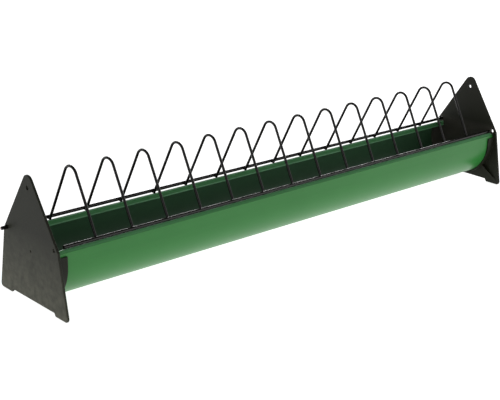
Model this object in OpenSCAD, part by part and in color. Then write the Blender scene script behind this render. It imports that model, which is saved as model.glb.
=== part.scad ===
// Poultry feed trough: a long half-round trough held between two gabled end plates, under a grille of
// wire bows that hinges on its back rod and rests with its front rod on the trough's front rim.
// The origin is on the floor, midway between the plates and midway between the front and back feet.
// X runs along the trough, Y from the front (rest side) to the back (hinge side), and Z up.

/* [Overall] */
// Length over the outer faces of the two end plates
length = 1000; // [940:10:1200]
// Air gap between the floor and the lowest point of the trough
ground_gap = 12; // [10:1:30]

/* [Trough] */
// Outer radius of the half-round bottom
trough_r = 64.5; // [60:0.5:70]
// Thickness of the trough's sheet
sheet_t = 2; // [1.6:0.1:2.4]
// Height of the straight wall, from the middle of the half-round to the outer corner of the rim
wall_rise = 18.1; // [17:0.1:30]
// Distance that the lip of the rim reaches in from the wall
lip_reach = 6.7; // [5.6:0.1:9]
// Height of the crest of the lip above the outer corner of the rim
lip_rise = 2.7; // [1:0.1:4]
// Width of the flat crest of the lip
crest_w = 2.4; // [1:0.1:3]
// Height of the skirt that hangs down from the crest
skirt_h = 7; // [5:0.1:8]
// Radius of the bead along the lower edge of the skirt
bead_r = 1.5; // [1.3:0.1:1.8]

/* [End plates] */
// Thickness of an end plate
plate_t = 4; // [3:0.5:6]
// Width of the plate outside the collar, at the shoulder
shoulder_margin = 4.2; // [3:0.1:10]
// Distance that a foot reaches out past the shoulder
foot_spread = 17.8; // [10:0.1:40]
// Height of the peak above the middle of the rounded shoulders
peak_rise = 98; // [80:0.5:130]
// Radius of the rounded peak
peak_r = 12; // [9:0.5:20]
// Radius of the rounded shoulders
shoulder_r = 4; // [2:0.5:8]
// Radius of the outer corner of a foot
foot_r = 6; // [3:0.5:10]
// Width of a foot, from its outer corner to its inner edge
foot_w = 30; // [20:1:45]
// Height of the raised edge between the feet
arch_h = 5.5; // [3:0.5:7]
// Width of the sloping step between a foot and the raised edge
arch_step = 3.5; // [1:0.5:6]
// Chamfer around the edge of a plate
edge_c = 0.8; // [0.3:0.1:1.2]
// Radius of the round holes
hole_r = 3.4; // [3:0.1:5]
// Distance of the side holes in from the shoulder's edge
hole_inset = 9.4; // [8:0.1:14]
// Depth of the peak's hole below the peak
peak_hole_drop = 19; // [16:0.5:26]
// Height of the side holes above the middle of the rounded shoulders
hole_rise = 3.2; // [0:0.1:8]
// Radius of the moulding mark on the outer face
mark_r = 1.8; // [1:0.1:3]
// Depth of the moulding mark
mark_depth = 1.2; // [0.4:0.1:2]
// Height of the moulding mark above the middle of the half-round
mark_rise = 6.3; // [0:0.1:20]

/* [Seats for the trough] */
// Thickness of the collar outside the trough and of the sleeve inside it
collar_t = 2.5; // [1.5:0.1:4]
// Depth of the collar along the trough
collar_l = 15; // [8:1:24]
// Depth of the sleeve along the trough
sleeve_l = 28; // [16:1:40]
// Distance of the collar's top below the outer corner of the rim
collar_drop = 4.1; // [3:0.1:10]
// Play between the trough's sheet and the collar or the sleeve
seat_play = 0.3; // [0.2:0.05:0.5]
// Thickness of a gusset between the collar and a foot
gusset_t = 2.4; // [1.5:0.1:4]
// Height of a gusset above the plate's face, where it meets the collar
gusset_h = 9; // [5:0.5:13]

/* [Grille] */
// Diameter of the hinge rod and of the rest rod
rod_d = 5.6; // [4:0.1:6]
// Diameter of the wire of the bows
wire_d = 4.4; // [3:0.1:5]
// Chamfer at the ends of the rods
rod_c = 0.6; // [0.2:0.1:1]
// Distance that the hinge rod sticks out past each end plate
hinge_stub = 10; // [5:0.5:20]
// Gap between two pieces of which one rests loosely on the other
rest_gap = 0.3; // [0.2:0.05:0.4]
// Distance between an end of the rest rod and the end plate, with the grille in the middle
rest_end_gap = 9; // [8:0.5:30]
// Sideways place of the rest rod, from the middle of the trough
rest_offset = 6.4; // [0:0.1:7]
// Sideways place of the bows, from the middle of the trough
bow_offset = 1.4; // [0:0.1:6]
// Angle by which the bows stand askew to the rods, seen from above
askew = 3.6; // [0:0.1:6]
// Distance between an end of the rest rod and the nearest bow, with both in the middle
bow_inset = 60.4; // [20:0.1:80]
// Height of the top of the bows above the hinge rod's axis
bow_rise = 95.2; // [80:0.1:125]
// Radius of the bend at the top of a bow, at the middle of the wire
bend_r = 14; // [10:0.5:24]
// Distance that a bow's leg runs on past the rod that it is welded to
foot_end = 0.8; // [0:0.1:2]
// Gap between the bows' back feet and the rim below them
foot_gap = 0.4; // [0.3:0.1:1]
// Depth to which the weld sets a bow's leg into a rod
weld_bite = 0.4; // [0.2:0.1:0.6]

/* [Hidden] */
$fn = 96;
bow_count = 14;

// Trough: heights and half-widths of its section, at the middle of the sheet
axis_z = ground_gap + trough_r;
wall_y = trough_r - sheet_t / 2;
corner_z = axis_z + wall_rise;
crest_z = corner_z + lip_rise;
crest_top = crest_z + sheet_t / 2;
skirt_y = wall_y - lip_reach;
bead_z = crest_z - skirt_h;
inside_l = length - 2 * plate_t;

// Seats: the trough's sheet lies in the groove between the collar and the sleeve
collar_in = trough_r + seat_play;
collar_out = collar_in + collar_t;
collar_top = corner_z - collar_drop;
sleeve_out = trough_r - sheet_t - seat_play;
sleeve_in = sleeve_out - collar_t;
sleeve_top = bead_z - bead_r - seat_play;

// Grille across the trough: the hinge rod in the side holes, and the rest rod over the front crest
rod_r = rod_d / 2;
wire_r = wire_d / 2;
leg_gap = rod_r + wire_r - weld_bite;
shoulder_y = collar_out + shoulder_margin;
hinge_y = shoulder_y - hole_inset;
rest_y = -skirt_y;
rest_z = crest_top + rest_gap + rod_r;
bend_y = (hinge_y + rest_y) / 2;
back_run = [(hinge_y - bend_y) / cos(askew), bow_rise - wire_r - bend_r];
back_angle = leg_angle(back_run);
foot_drop = (leg_gap + wire_r) * cos(back_angle) + foot_end * sin(back_angle);
hinge_z = crest_top + foot_gap + foot_drop;
bend_z = hinge_z + back_run.y;
front_run = [(bend_y - rest_y) / cos(askew), bend_z - rest_z];
front_angle = leg_angle(front_run);

// Angle by which the two halves of a bow's bend run into each other past the top
half_lap = 5;

// Grille along the trough
hinge_rod_l = length + 2 * hinge_stub;
rest_rod_l = inside_l - 2 * rest_end_gap;
bow_pitch = (rest_rod_l - 2 * bow_inset) / (bow_count - 1);

// End plates: the hinge rod lies near the bottom of the side holes, and the outline follows the holes
hole_z = hinge_z + hole_r - rod_r - rest_gap;
shoulder_z = hole_z - hole_rise;
peak_z = shoulder_z + peak_rise;
foot_y = shoulder_y + foot_spread;
foot_centre_y = foot_y - foot_r;

// Slope of a leg that leaves the bend as a tangent and passes the rod's axis on the inner side
function leg_angle(run) = atan2(run.y, run.x) + asin((bend_r + leg_gap) / norm(run));

// Length of that leg, from the bend to its foot
function leg_length(run) = sqrt(norm(run) ^ 2 - (bend_r + leg_gap) ^ 2) + foot_end;

// Stands a shape drawn in X and Y upright in Y and Z, and turns its Z into X
module along_x() {
    rotate([90, 0, 90]) children();
}

// Flat strip with round ends between two points
module strip(start, end, thickness) {
    run = end - start;
    translate(start) circle(d = thickness);
    translate(end) circle(d = thickness);
    translate(start) rotate(atan2(run.y, run.x))
        translate([0, -thickness / 2]) square([norm(run), thickness]);
}

// Outline of a half-round with straight sides that rise to the given height above its middle
module channel_outline(r, rise) {
    difference() {
        union() {
            circle(r);
            translate([-r, 0]) square([2 * r, rise]);
        }
        translate([-r - 1, rise]) square([2 * r + 2, r]);
    }
}

// Section of a half-round channel whose straight walls end at the given height
module channel_section(outer_r, inner_r, top_z) {
    rise = top_z - axis_z;
    translate([0, axis_z]) difference() {
        channel_outline(outer_r, rise);
        channel_outline(inner_r, rise + 1);
    }
}

// Section of the rim on one side: sloping lip, flat crest, hanging skirt and its bead
module rim_section() {
    crest_outer = [skirt_y + crest_w, crest_z];
    crest_inner = [skirt_y, crest_z];
    strip([wall_y, corner_z], crest_outer, sheet_t);
    strip(crest_outer, crest_inner, sheet_t);
    strip(crest_inner, [skirt_y, bead_z], sheet_t);
    translate([skirt_y, bead_z]) circle(bead_r);
}

module trough() {
    color("#41804a") translate([-inside_l / 2, 0, 0]) along_x() linear_extrude(inside_l) {
        channel_section(trough_r, trough_r - sheet_t, corner_z);
        for (side = [0, 1]) mirror([side, 0]) rim_section();
    }
}

// Chamfered disc at one corner of an end plate, with its outer face at X = 0
module plate_corner(y, z, r) {
    translate([0, y, z]) rotate([0, 90, 0]) {
        translate([0, 0, edge_c]) cylinder(h = plate_t - 2 * edge_c, r = r, $fn = 32);
        cylinder(h = plate_t, r = r - edge_c, $fn = 32);
    }
}

module plate_blank() {
    hull() {
        plate_corner(0, peak_z - peak_r, peak_r);
        for (side = [-1, 1]) {
            plate_corner(side * (shoulder_y - shoulder_r), shoulder_z, shoulder_r);
            plate_corner(side * foot_centre_y, foot_r, foot_r);
        }
    }
}

// Space under the raised edge between the feet
module plate_arch() {
    inner_y = foot_y - foot_w;
    translate([-1, 0, 0]) along_x() linear_extrude(plate_t + 2)
        polygon([[-inner_y, -1], [-inner_y, 0], [arch_step - inner_y, arch_h],
                 [inner_y - arch_step, arch_h], [inner_y, 0], [inner_y, -1]]);
}

// Collar around the trough's end and sleeve inside it
module trough_seats() {
    translate([plate_t / 2, 0, 0]) along_x() {
        linear_extrude(plate_t / 2 + collar_l) channel_section(collar_out, collar_in, collar_top);
        linear_extrude(plate_t / 2 + sleeve_l) channel_section(sleeve_out, sleeve_in, sleeve_top);
    }
}

// Wedge-shaped rib from the collar down to the rounded corner of the back foot
module gusset() {
    run = [foot_centre_y, axis_z - foot_r];
    root_r = collar_out - collar_t / 2;
    translate([plate_t, 0, axis_z]) rotate([-atan2(run.y, run.x), 0, 0])
        translate([0, 0, -gusset_t / 2]) linear_extrude(gusset_t)
            polygon([[-plate_t / 2, root_r], [gusset_h, root_r], [gusset_h, collar_out],
                     [0, norm(run)], [-plate_t / 2, norm(run)]]);
}

module plate_hole(y, z) {
    translate([-1, y, z]) rotate([0, 90, 0]) cylinder(h = plate_t + 2, r = hole_r);
}

// End plate with its outer face at X = 0 and its seats towards +X
module end_plate() {
    color("#3b3c38") difference() {
        union() {
            difference() {
                plate_blank();
                plate_arch();
            }
            trough_seats();
            for (side = [0, 1]) mirror([0, side, 0]) gusset();
        }
        for (side = [-1, 1]) plate_hole(side * hinge_y, hole_z);
        plate_hole(0, peak_z - peak_hole_drop);
        translate([-mark_depth, 0, axis_z + mark_rise]) rotate([0, 90, 0])
            cylinder(h = 2 * mark_depth, r = mark_r);
    }
}

module left_end_plate() {
    translate([-length / 2, 0, 0]) end_plate();
}

module right_end_plate() {
    rotate([0, 0, 180]) left_end_plate();
}

// Straight round rod along X, chamfered at its ends
module rod(l) {
    rotate([0, 90, 0]) rotate_extrude()
        polygon([[0, -l / 2], [rod_r - rod_c, -l / 2], [rod_r, rod_c - l / 2],
                 [rod_r, l / 2 - rod_c], [rod_r - rod_c, l / 2], [0, l / 2]]);
}

module hinge_rod() {
    color("#1d1c1a") translate([0, hinge_y, hinge_z]) rod(hinge_rod_l);
}

module rest_rod() {
    color("#1d1c1a") translate([rest_offset, rest_y, rest_z]) rod(rest_rod_l);
}

// Right-hand half of a bow: the bend from its top to the leg, and the leg that slopes down from it
module half_bow(angle, leg_l) {
    rotate([0, 0, 90 - angle]) {
        rotate_extrude(angle = angle + half_lap) translate([bend_r, 0]) circle(wire_r);
        translate([bend_r, 0, 0]) rotate([90, 0, 0]) cylinder(h = leg_l, r = wire_r);
    }
}

// Bow number 1 is at the left end
module bow(number) {
    x = bow_offset + (number - (bow_count + 1) / 2) * bow_pitch;
    color("#1d1c1a") translate([x, bend_y, bend_z]) rotate([0, 0, askew]) along_x() {
        half_bow(back_angle, leg_length(back_run));
        mirror([1, 0, 0]) half_bow(front_angle, leg_length(front_run));
    }
}

left_end_plate();
right_end_plate();
trough();
hinge_rod();
rest_rod();
bow(1);  // bow_01
bow(2);  // bow_02
bow(3);  // bow_03
bow(4);  // bow_04
bow(5);  // bow_05
bow(6);  // bow_06
bow(7);  // bow_07
bow(8);  // bow_08
bow(9);  // bow_09
bow(10);  // bow_10
bow(11);  // bow_11
bow(12);  // bow_12
bow(13);  // bow_13
bow(14);  // bow_14
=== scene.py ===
"""Looks of the poultry feed trough: moulded end plates, an extruded trough and a coated wire grille."""

import math

import bmesh
import bpy
from mathutils import Matrix, Vector


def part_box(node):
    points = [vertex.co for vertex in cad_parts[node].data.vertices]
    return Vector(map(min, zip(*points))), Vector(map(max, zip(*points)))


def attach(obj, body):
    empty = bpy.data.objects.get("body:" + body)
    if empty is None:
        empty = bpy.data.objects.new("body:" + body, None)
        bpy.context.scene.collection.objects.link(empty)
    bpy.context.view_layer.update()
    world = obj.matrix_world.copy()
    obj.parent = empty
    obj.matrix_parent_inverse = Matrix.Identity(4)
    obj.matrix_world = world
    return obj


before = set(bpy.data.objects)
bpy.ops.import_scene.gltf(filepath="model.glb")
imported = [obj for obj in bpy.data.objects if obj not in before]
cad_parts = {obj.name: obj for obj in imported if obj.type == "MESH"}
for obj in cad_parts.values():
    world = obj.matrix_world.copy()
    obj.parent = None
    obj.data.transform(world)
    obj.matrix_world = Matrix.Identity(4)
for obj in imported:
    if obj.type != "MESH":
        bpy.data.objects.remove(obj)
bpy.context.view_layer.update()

MM = 0.001
OUTER_FACE = 500 * MM  # distance of the end plates' outer faces from the middle
TROUGH_AXIS = 76.5 * MM  # height of the middle of the half-round
SHEET_MIDDLE = 63.5 * MM  # radius of the half-round at the middle of its sheet
SKIRT_EDGE = 89 * MM  # height of the lower edge of the skirts
SKIRT_OUTER = 59 * MM  # distance of the skirts' outer sides from the middle
CREST_TOP = 98.3 * MM  # height of the crests of the rims
RIM_SLANT = 1.2  # rise over reach of a line that parts each rim from the wall below it
RIM_START = 18 * MM  # height at which that line starts, over the middle of the trough
DUST_AND_LIGHT_LINE = 115 * MM  # height up to which dust lies on the end plates' outer faces, and above which only a trace of painted bounce light lies on their inner faces
STRAY_LIGHT_HAZE = 0.6  # how strongly the painted haze of stray light covers the shaded green sheet
RIM_LIGHT_STRENGTH = 0.6  # how strongly the painted light covers the rims, before the streaking along the trough breaks it up


# Colours and shader nodes

def linear(hex_colour):
    """Linear RGBA of an sRGB hex colour."""
    channels = [int(hex_colour[i:i + 2], 16) / 255 for i in (1, 3, 5)]
    return [c / 12.92 if c <= 0.04045 else ((c + 0.055) / 1.055) ** 2.4 for c in channels] + [1.0]


def new_material(name):
    """An empty node material, with its tree and its output node."""
    material = bpy.data.materials.new(name)
    material.use_nodes = True
    tree = material.node_tree
    tree.nodes.clear()
    return material, tree, tree.nodes.new("ShaderNodeOutputMaterial")


def add_node(tree, kind, settings=None, links=None):
    """Adds a node: settings holds its properties, its colour stops and its input values, links its wires."""
    node = tree.nodes.new(kind)
    for name, value in (settings or {}).items():
        if name == "stops":
            ramp = node.color_ramp.elements
            while len(ramp) < len(value):
                ramp.new(0.5)
            for stop, (position, colour) in zip(ramp, value):
                stop.position = position
                stop.color = colour
        elif isinstance(name, str) and hasattr(node, name):
            setattr(node, name, value)
        else:
            node.inputs[name].default_value = value
    for name, socket in (links or {}).items():
        tree.links.new(socket, node.inputs[name])
    return node


def ramp_between(low, high):
    """Colour stops that turn a pattern into a mask from 0 at low to 1 at high."""
    return [(low, (0.0, 0.0, 0.0, 1.0)), (high, (1.0, 1.0, 1.0, 1.0))]


def trough_section(tree, place):
    """The split coordinates of a place, and its distance from the middle of the trough: from the axis of
    the half-round where it lies below that axis, and from the upright plane through it where it is above."""
    axes = add_node(tree, "ShaderNodeSeparateXYZ", {}, {"Vector": place})
    # Depth below the axis, held at 0 above it
    under_axis = add_node(tree, "ShaderNodeMapRange",
                          {"From Min": TROUGH_AXIS - 1.0, "From Max": TROUGH_AXIS,
                           "To Min": -1.0, "To Max": 0.0},
                          {"Value": axes.outputs["Z"]})
    section = add_node(tree, "ShaderNodeCombineXYZ", {},
                       {"Y": axes.outputs["Y"], "Z": under_axis.outputs["Result"]})
    radius = add_node(tree, "ShaderNodeVectorMath", {"operation": "LENGTH"}, {0: section.outputs["Vector"]})
    return axes, radius.outputs["Value"]


def moulded_polypropylene():
    """Black injection-moulded polypropylene: a dull, faintly mottled charcoal with a fine grain,
    paler along its knocked edges, with a little dust low on its outer faces, and painted bounce light
    inside the trough, with a trace of painted highlight higher up."""
    material, tree, output = new_material("moulded_black_polypropylene")
    place = add_node(tree, "ShaderNodeTexCoord").outputs["Object"]
    # Slow colour drift of the melt, patches about 60 mm wide
    drift = add_node(tree, "ShaderNodeTexNoise", {"Scale": 1 / (60 * MM), "Detail": 3.0, "Roughness": 0.6},
                     {"Vector": place})
    plain = add_node(tree, "ShaderNodeMix", {"data_type": "RGBA", 6: linear("#16180d"), 7: linear("#1b1d12")},
                     {0: drift.outputs["Fac"]})
    # Mould grain is about 0.3 mm across; it is drawn 1.6 mm across so that it shows
    grain = add_node(tree, "ShaderNodeTexNoise", {"Scale": 1 / (1.6 * MM), "Detail": 2.0, "Roughness": 0.7},
                     {"Vector": place})
    # Edges knocked pale within about 0.6 mm, broken up by patches of 9 mm
    rounded = add_node(tree, "ShaderNodeBevel", {"samples": 4, "Radius": 0.6 * MM})
    flat = add_node(tree, "ShaderNodeNewGeometry").outputs["Normal"]
    facing = add_node(tree, "ShaderNodeVectorMath", {"operation": "DOT_PRODUCT"},
                      {0: rounded.outputs["Normal"], 1: flat})
    edge = add_node(tree, "ShaderNodeMapRange", {"From Min": 0.985, "From Max": 0.80},
                    {"Value": facing.outputs["Value"]})
    patches = add_node(tree, "ShaderNodeTexNoise", {"Scale": 1 / (9 * MM), "Detail": 4.0}, {"Vector": place})
    broken = add_node(tree, "ShaderNodeValToRGB", {"stops": ramp_between(0.42, 0.68)},
                      {"Fac": patches.outputs["Fac"]})
    wear = add_node(tree, "ShaderNodeMath", {"operation": "MULTIPLY"},
                    {0: edge.outputs["Result"], 1: broken.outputs["Color"]})
    worn = add_node(tree, "ShaderNodeMix", {"data_type": "RGBA", 7: linear("#6d6d67")},
                    {0: wear.outputs["Value"], 6: plain.outputs[2]})
    # Dust clings to the outer faces and thins out upwards
    axes, radius = trough_section(tree, place)
    low = add_node(tree, "ShaderNodeMapRange", {"From Min": DUST_AND_LIGHT_LINE, "From Max": 0.0, "To Max": 0.64},
                   {"Value": axes.outputs["Z"]})
    from_middle = add_node(tree, "ShaderNodeMath", {"operation": "ABSOLUTE"}, {0: axes.outputs["X"]})
    outside = add_node(tree, "ShaderNodeMapRange", {"From Min": OUTER_FACE - 2 * MM, "From Max": OUTER_FACE},
                       {"Value": from_middle.outputs["Value"]})
    splashed = add_node(tree, "ShaderNodeMath", {"operation": "MULTIPLY"},
                        {0: low.outputs["Result"], 1: outside.outputs["Result"]})
    dusty = add_node(tree, "ShaderNodeMath", {"operation": "MULTIPLY"},
                     {0: splashed.outputs["Value"], 1: patches.outputs["Fac"]})
    dusted = add_node(tree, "ShaderNodeMix", {"data_type": "RGBA", 7: linear("#7b7b6b")},
                      {0: dusty.outputs["Value"], 6: worn.outputs[2]})
    # Painted bounce light: a pale coat on the sleeve and on the inner face between the trough's walls, where
    #     they lie in shade. It is strongest low in the trough, and only a trace of it, a painted highlight,
    #     lies higher up.
    inside = add_node(tree, "ShaderNodeMapRange",
                      {"From Min": SHEET_MIDDLE, "From Max": SHEET_MIDDLE - 1 * MM}, {"Value": radius})
    sunk = add_node(tree, "ShaderNodeMapRange",
                    {"From Min": DUST_AND_LIGHT_LINE, "From Max": 50 * MM, "To Min": 0.02, "To Max": 0.75},
                    {"Value": axes.outputs["Z"]})
    painted_bounce = add_node(tree, "ShaderNodeMath", {"operation": "MULTIPLY"},
                       {0: inside.outputs["Result"], 1: sunk.outputs["Result"]})
    painted_light_coat = add_node(tree, "ShaderNodeMath", {"operation": "SUBTRACT", "use_clamp": True},
                    {0: painted_bounce.outputs["Value"], 1: outside.outputs["Result"]})
    # The pale colour of the painted bounce light
    painted_light_mixed = add_node(tree, "ShaderNodeMix", {"data_type": "RGBA", 7: linear("#858078")},
                      {0: painted_light_coat.outputs["Value"], 6: dusted.outputs[2]})
    # Grain breaks up the gloss
    gloss = add_node(tree, "ShaderNodeMapRange", {"To Min": 0.44, "To Max": 0.62},
                     {"Value": grain.outputs["Fac"]})
    bump = add_node(tree, "ShaderNodeBump", {"Strength": 0.35, "Distance": 0.12 * MM},
                    {"Height": grain.outputs["Fac"], "Normal": rounded.outputs["Normal"]})
    surface = add_node(tree, "ShaderNodeBsdfPrincipled", {"IOR": 1.49, "Specular IOR Level": 0.19},
                       {"Base Color": painted_light_mixed.outputs[2], "Roughness": gloss.outputs["Result"],
                        "Normal": bump.outputs["Normal"]})
    tree.links.new(surface.outputs["BSDF"], output.inputs["Surface"])
    return material


def extruded_pvc():
    """Green PVC sheet, extruded: an even mid green with a soft sheen, faint die lines along its length,
    a painted haze of stray light over the shaded inside, and painted light and highlights on the rims."""
    material, tree, output = new_material("extruded_green_pvc")
    place = add_node(tree, "ShaderNodeTexCoord").outputs["Object"]
    # Die lines are about 0.5 mm apart; they are drawn 2.5 mm apart and run on for about 300 mm
    stretched = add_node(tree, "ShaderNodeMapping",
                         {"Scale": (1 / (300 * MM), 1 / (2.5 * MM), 1 / (2.5 * MM))},
                         {"Vector": place})
    lines = add_node(tree, "ShaderNodeTexNoise", {"Scale": 1.0, "Detail": 3.0, "Roughness": 0.65},
                     {"Vector": stretched.outputs["Vector"]})
    drift = add_node(tree, "ShaderNodeTexNoise", {"Scale": 1 / (90 * MM), "Detail": 3.0}, {"Vector": place})
    shade = add_node(tree, "ShaderNodeMapRange", {"To Min": -0.2, "To Max": 0.2},
                     {"Value": lines.outputs["Fac"]})
    blend = add_node(tree, "ShaderNodeMath", {"operation": "ADD", "use_clamp": True},
                     {0: drift.outputs["Fac"], 1: shade.outputs["Result"]})
    green = add_node(tree, "ShaderNodeMix", {"data_type": "RGBA", 6: linear("#266f2d"), 7: linear("#317b36")},
                     {0: blend.outputs["Value"]})
    # A painted haze of stray light, in grey, lies on the shaded inner face of the half-round, below the
    # skirts of the rims
    axes, radius = trough_section(tree, place)
    inner = add_node(tree, "ShaderNodeMapRange",
                     {"From Min": SHEET_MIDDLE + 0.2 * MM, "From Max": SHEET_MIDDLE - 0.2 * MM},
                     {"Value": radius})
    sheltered = add_node(tree, "ShaderNodeMapRange",
                         {"From Min": SKIRT_EDGE, "From Max": SKIRT_EDGE - 1 * MM, "To Max": STRAY_LIGHT_HAZE},
                         {"Value": axes.outputs["Z"]})
    painted_light_coat = add_node(tree, "ShaderNodeMath", {"operation": "MULTIPLY"},
                    {0: inner.outputs["Result"], 1: sheltered.outputs["Result"]})
    # The grey of the painted haze of stray light
    painted_light_mixed = add_node(tree, "ShaderNodeMix", {"data_type": "RGBA", 7: linear("#50625a")},
                      {0: painted_light_coat.outputs["Value"], 6: green.outputs[2]})
    # Painted light: the rims are painted paler, where more light falls on them, streaked along the trough
    over_wall = add_node(tree, "ShaderNodeMath", {"operation": "MULTIPLY_ADD", 1: -RIM_SLANT},
                         {0: radius, 2: axes.outputs["Z"]})
    rim = add_node(tree, "ShaderNodeMapRange",
                   {"From Min": RIM_START, "From Max": RIM_START + 1.5 * MM, "To Max": RIM_LIGHT_STRENGTH},
                   {"Value": over_wall.outputs["Value"]})
    rim_light_streaks = add_node(tree, "ShaderNodeMath", {"operation": "MULTIPLY"},
                       {0: rim.outputs["Result"], 1: lines.outputs["Fac"]})
    # Painted highlights: the inner edges of the crests and the beads of the skirts stand out, and are painted
    # palest
    crest = add_node(tree, "ShaderNodeMapRange",
                     {"From Min": CREST_TOP - 1.2 * MM, "From Max": CREST_TOP - 0.6 * MM},
                     {"Value": axes.outputs["Z"]})
    under_skirt = add_node(tree, "ShaderNodeMapRange",
                           {"From Min": SKIRT_EDGE + 2.8 * MM, "From Max": SKIRT_EDGE + 2.2 * MM},
                           {"Value": axes.outputs["Z"]})
    on_skirt = add_node(tree, "ShaderNodeMapRange",
                        {"From Min": SKIRT_OUTER + 1 * MM, "From Max": SKIRT_OUTER}, {"Value": radius})
    ends = add_node(tree, "ShaderNodeMath", {"operation": "MAXIMUM"},
                    {0: crest.outputs["Result"], 1: under_skirt.outputs["Result"]})
    edge_highlight = add_node(tree, "ShaderNodeMath", {"operation": "MULTIPLY"},
                     {0: ends.outputs["Value"], 1: on_skirt.outputs["Result"]})
    rim_light = add_node(tree, "ShaderNodeMath", {"operation": "MULTIPLY_ADD", 1: 0.45},
                   {0: edge_highlight.outputs["Value"], 2: rim_light_streaks.outputs["Value"]})
    # Pale green of the painted light and painted highlights on the rims
    rim_lit = add_node(tree, "ShaderNodeMix", {"data_type": "RGBA", 7: linear("#86c796")},
                      {0: rim_light.outputs["Value"], 6: painted_light_mixed.outputs[2]})
    gloss = add_node(tree, "ShaderNodeMapRange", {"To Min": 0.28, "To Max": 0.42},
                     {"Value": lines.outputs["Fac"]})
    # The bends of the sheet are rounded over about 1.5 mm
    rounded = add_node(tree, "ShaderNodeBevel", {"samples": 4, "Radius": 1.5 * MM})
    bump = add_node(tree, "ShaderNodeBump", {"Strength": 0.25, "Distance": 0.1 * MM},
                    {"Height": lines.outputs["Fac"], "Normal": rounded.outputs["Normal"]})
    surface = add_node(tree, "ShaderNodeBsdfPrincipled", {"IOR": 1.47, "Specular IOR Level": 0.38},
                       {"Base Color": rim_lit.outputs[2], "Roughness": gloss.outputs["Result"],
                        "Normal": bump.outputs["Normal"]})
    tree.links.new(surface.outputs["BSDF"], output.inputs["Surface"])
    return material


def coated_wire():
    """Steel wire with a black baked coating: near-black, half gloss, with a faint orange-peel skin."""
    material, tree, output = new_material("black_coated_steel_wire")
    place = add_node(tree, "ShaderNodeTexCoord").outputs["Object"]
    # Orange peel of a baked coating, cells about 1.5 mm wide
    peel = add_node(tree, "ShaderNodeTexNoise", {"Scale": 1 / (1.5 * MM), "Detail": 1.0}, {"Vector": place})
    drift = add_node(tree, "ShaderNodeTexNoise", {"Scale": 1 / (25 * MM), "Detail": 3.0}, {"Vector": place})
    black = add_node(tree, "ShaderNodeMix", {"data_type": "RGBA", 6: linear("#0b0a08"), 7: linear("#13110e")},
                     {0: drift.outputs["Fac"]})
    gloss = add_node(tree, "ShaderNodeMapRange", {"To Min": 0.14, "To Max": 0.24},
                     {"Value": drift.outputs["Fac"]})
    bump = add_node(tree, "ShaderNodeBump", {"Strength": 0.12, "Distance": 0.05 * MM},
                    {"Height": peel.outputs["Fac"]})
    surface = add_node(tree, "ShaderNodeBsdfPrincipled", {"IOR": 1.5, "Specular IOR Level": 0.32},
                       {"Base Color": black.outputs[2], "Roughness": gloss.outputs["Result"],
                        "Normal": bump.outputs["Normal"]})
    tree.links.new(surface.outputs["BSDF"], output.inputs["Surface"])
    return material


def light_table_top():
    """White acrylic top of a light table: pale, with a soft glow that leaves hardly a shadow."""
    material, tree, output = new_material("white_acrylic_light_table")
    place = add_node(tree, "ShaderNodeTexCoord").outputs["Object"]
    drift = add_node(tree, "ShaderNodeTexNoise", {"Scale": 1 / 0.7, "Detail": 2.0}, {"Vector": place})
    white = add_node(tree, "ShaderNodeMix", {"data_type": "RGBA", 6: linear("#c9c9c8"), 7: linear("#d0d0cf")},
                     {0: drift.outputs["Fac"]})
    surface = add_node(tree, "ShaderNodeBsdfPrincipled",
                       {"Roughness": 0.9, "Emission Color": linear("#ffffff"), "Emission Strength": 0.95},
                       {"Base Color": white.outputs[2]})
    tree.links.new(surface.outputs["BSDF"], output.inputs["Surface"])
    return material


# Materials on the CAD nodes

PLASTIC = moulded_polypropylene()
GREEN = extruded_pvc()
WIRE = coated_wire()


def finish_node(name, material):
    """Puts one material on all of a CAD node."""
    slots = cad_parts[name].data.materials
    slots.clear()
    slots.append(material)


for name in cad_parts:
    if name.endswith("end_plate"):
        finish_node(name, PLASTIC)
    elif name == "trough":
        finish_node(name, GREEN)
    else:
        finish_node(name, WIRE)


# Weld beads where the bows cross the rods

BOWS = sorted(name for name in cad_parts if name.startswith("bow_"))


def middle(name):
    """Middle of a CAD node's box."""
    low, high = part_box(name)
    return (low + high) / 2


def piece_from(mesh, name, material, body):
    """Makes an object of a bmesh, with smooth faces, and lets it ride on a body."""
    data = bpy.data.meshes.new(name)
    for face in mesh.faces:
        face.smooth = True
    mesh.to_mesh(data)
    mesh.free()
    data.materials.append(material)
    piece = bpy.data.objects.new(name, data)
    bpy.context.scene.collection.objects.link(piece)
    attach(piece, body)
    return piece


ASKEW = math.radians(3.6)  # the bows' turn about the vertical
HALF_SPAN = 59.45 * MM  # from the middle of the grille to either rod
FRONT_SLOPE = math.radians(64.08)  # slope of the front legs
BACK_SLOPE = math.radians(63.82)  # slope of the back legs
WELD_DEPTH = 2.6 * MM  # from a rod's axis to the middle of its welds
WELD_SIZE = (3.0 * MM, 2.5 * MM, 1.5 * MM)  # half sizes of a bead along the rod, along the leg and in depth


def add_weld_bead(mesh, rod_axis, side, slope):
    """Adds the bead between a rod and the leg that passes it on its inner side, with the leg's slope."""
    inward = Vector((0, -side * math.sin(slope), -math.cos(slope)))
    along = Vector((0, side * math.cos(slope), -math.sin(slope)))
    turned = Matrix.Rotation(ASKEW, 4, "Z")
    centre = rod_axis + (turned @ inward) * WELD_DEPTH
    turn = turned @ Matrix((Vector((1, 0, 0)), along, inward)).transposed().to_4x4()
    size = Matrix.Diagonal((*WELD_SIZE, 1))
    bmesh.ops.create_uvsphere(mesh, u_segments=20, v_segments=12, radius=1.0,
                              matrix=Matrix.Translation(centre) @ turn @ size)


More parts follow.
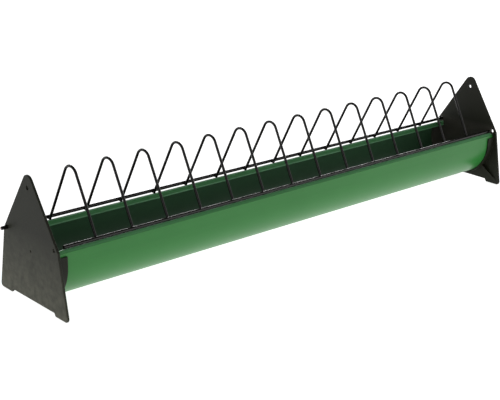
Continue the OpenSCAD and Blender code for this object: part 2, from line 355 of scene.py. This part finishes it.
def weld_beads():
    """All beads of the grille, in one piece."""
    mesh = bmesh.new()
    rods = ((middle("rest_rod"), -1, FRONT_SLOPE), (middle("hinge_rod"), 1, BACK_SLOPE))
    for bow in BOWS:
        for rod, side, slope in rods:
            across = middle(bow).x - side * HALF_SPAN * math.tan(ASKEW)
            add_weld_bead(mesh, Vector((across, rod.y, rod.z)), side, slope)
    bmesh.ops.recalc_face_normals(mesh, faces=mesh.faces)
    return piece_from(mesh, "weld_beads", WIRE, "grille")


weld_beads()


# Studio: floor, light and camera

def studio_floor():
    """Large pale floor just under the feet."""
    mesh = bmesh.new()
    bmesh.ops.create_grid(mesh, x_segments=1, y_segments=1, size=15.0,
                          matrix=Matrix.Translation((0, 0, -0.2 * MM)))
    data = bpy.data.meshes.new("studio_floor")
    mesh.to_mesh(data)
    mesh.free()
    data.materials.append(light_table_top())
    floor = bpy.data.objects.new("studio_floor", data)
    bpy.context.scene.collection.objects.link(floor)


def light_panel(name, place, target, width, height, power):
    """Soft rectangular lamp at a place, aimed at a target."""
    light = bpy.data.lights.new(name, "AREA")
    light.shape = "RECTANGLE"
    light.size = width
    light.size_y = height
    light.energy = power
    lamp = bpy.data.objects.new(name, light)
    lamp.location = place
    lamp.rotation_euler = (Vector(target) - Vector(place)).to_track_quat("-Z", "Y").to_euler()
    bpy.context.scene.collection.objects.link(lamp)


def studio_light():
    """Pale surroundings, bright near the floor and dim overhead, and soft panels behind and on the right."""
    world = bpy.data.worlds.new("pale_studio")
    world.use_nodes = True
    tree = world.node_tree
    tree.nodes.clear()
    direction = add_node(tree, "ShaderNodeTexCoord").outputs["Generated"]
    height = add_node(tree, "ShaderNodeSeparateXYZ", {}, {"Vector": direction})
    level = add_node(tree, "ShaderNodeMapRange",
                     {"interpolation_type": "SMOOTHSTEP", "From Min": 0.0, "From Max": 0.40,
                      "To Min": 1.75, "To Max": 0.12},
                     {"Value": height.outputs["Z"]})
    background = add_node(tree, "ShaderNodeBackground", {"Color": linear("#ffffff")},
                          {"Strength": level.outputs["Result"]})
    output = add_node(tree, "ShaderNodeOutputWorld")
    tree.links.new(background.outputs["Background"], output.inputs["Surface"])
    bpy.context.scene.world = world
    # The back panel lights the upward faces and the rods, and the front one the front legs and the wall
    light_panel("back_panel", (1.6, 1.7, 1.15), (0.0, 0.0, 0.1), 2.2, 0.3, 28.0)
    light_panel("front_panel", (1.6, -1.9, 1.05), (0.0, 0.0, 0.1), 2.0, 1.2, 9.0)


def photo_camera():
    """Camera at the photograph's place: seen from the front left and above."""
    yaw, pitch, roll = math.radians(42.078), math.radians(-21.581), math.radians(1.068)
    forward = Vector((math.sin(yaw) * math.cos(pitch), math.cos(yaw) * math.cos(pitch), math.sin(pitch)))
    level_right = Vector((math.cos(yaw), -math.sin(yaw), 0))
    level_up = level_right.cross(forward)
    right = math.cos(roll) * level_right + math.sin(roll) * level_up
    up = -math.sin(roll) * level_right + math.cos(roll) * level_up
    data = bpy.data.cameras.new("photo_camera")
    data.sensor_fit = "HORIZONTAL"
    data.sensor_width = 36.0
    data.lens = 83.12
    data.shift_x = 0.0156
    data.shift_y = 0.1042
    data.clip_end = 60.0
    camera = bpy.data.objects.new("photo_camera", data)
    turn = Matrix((right, up, -forward)).transposed().to_4x4()
    camera.matrix_world = Matrix.Translation((-1.30529, -1.34495, 0.69617)) @ turn
    bpy.context.scene.collection.objects.link(camera)
    bpy.context.scene.camera = camera


studio_floor()
studio_light()
photo_camera()
bpy.context.scene.view_settings.view_transform = "Standard"
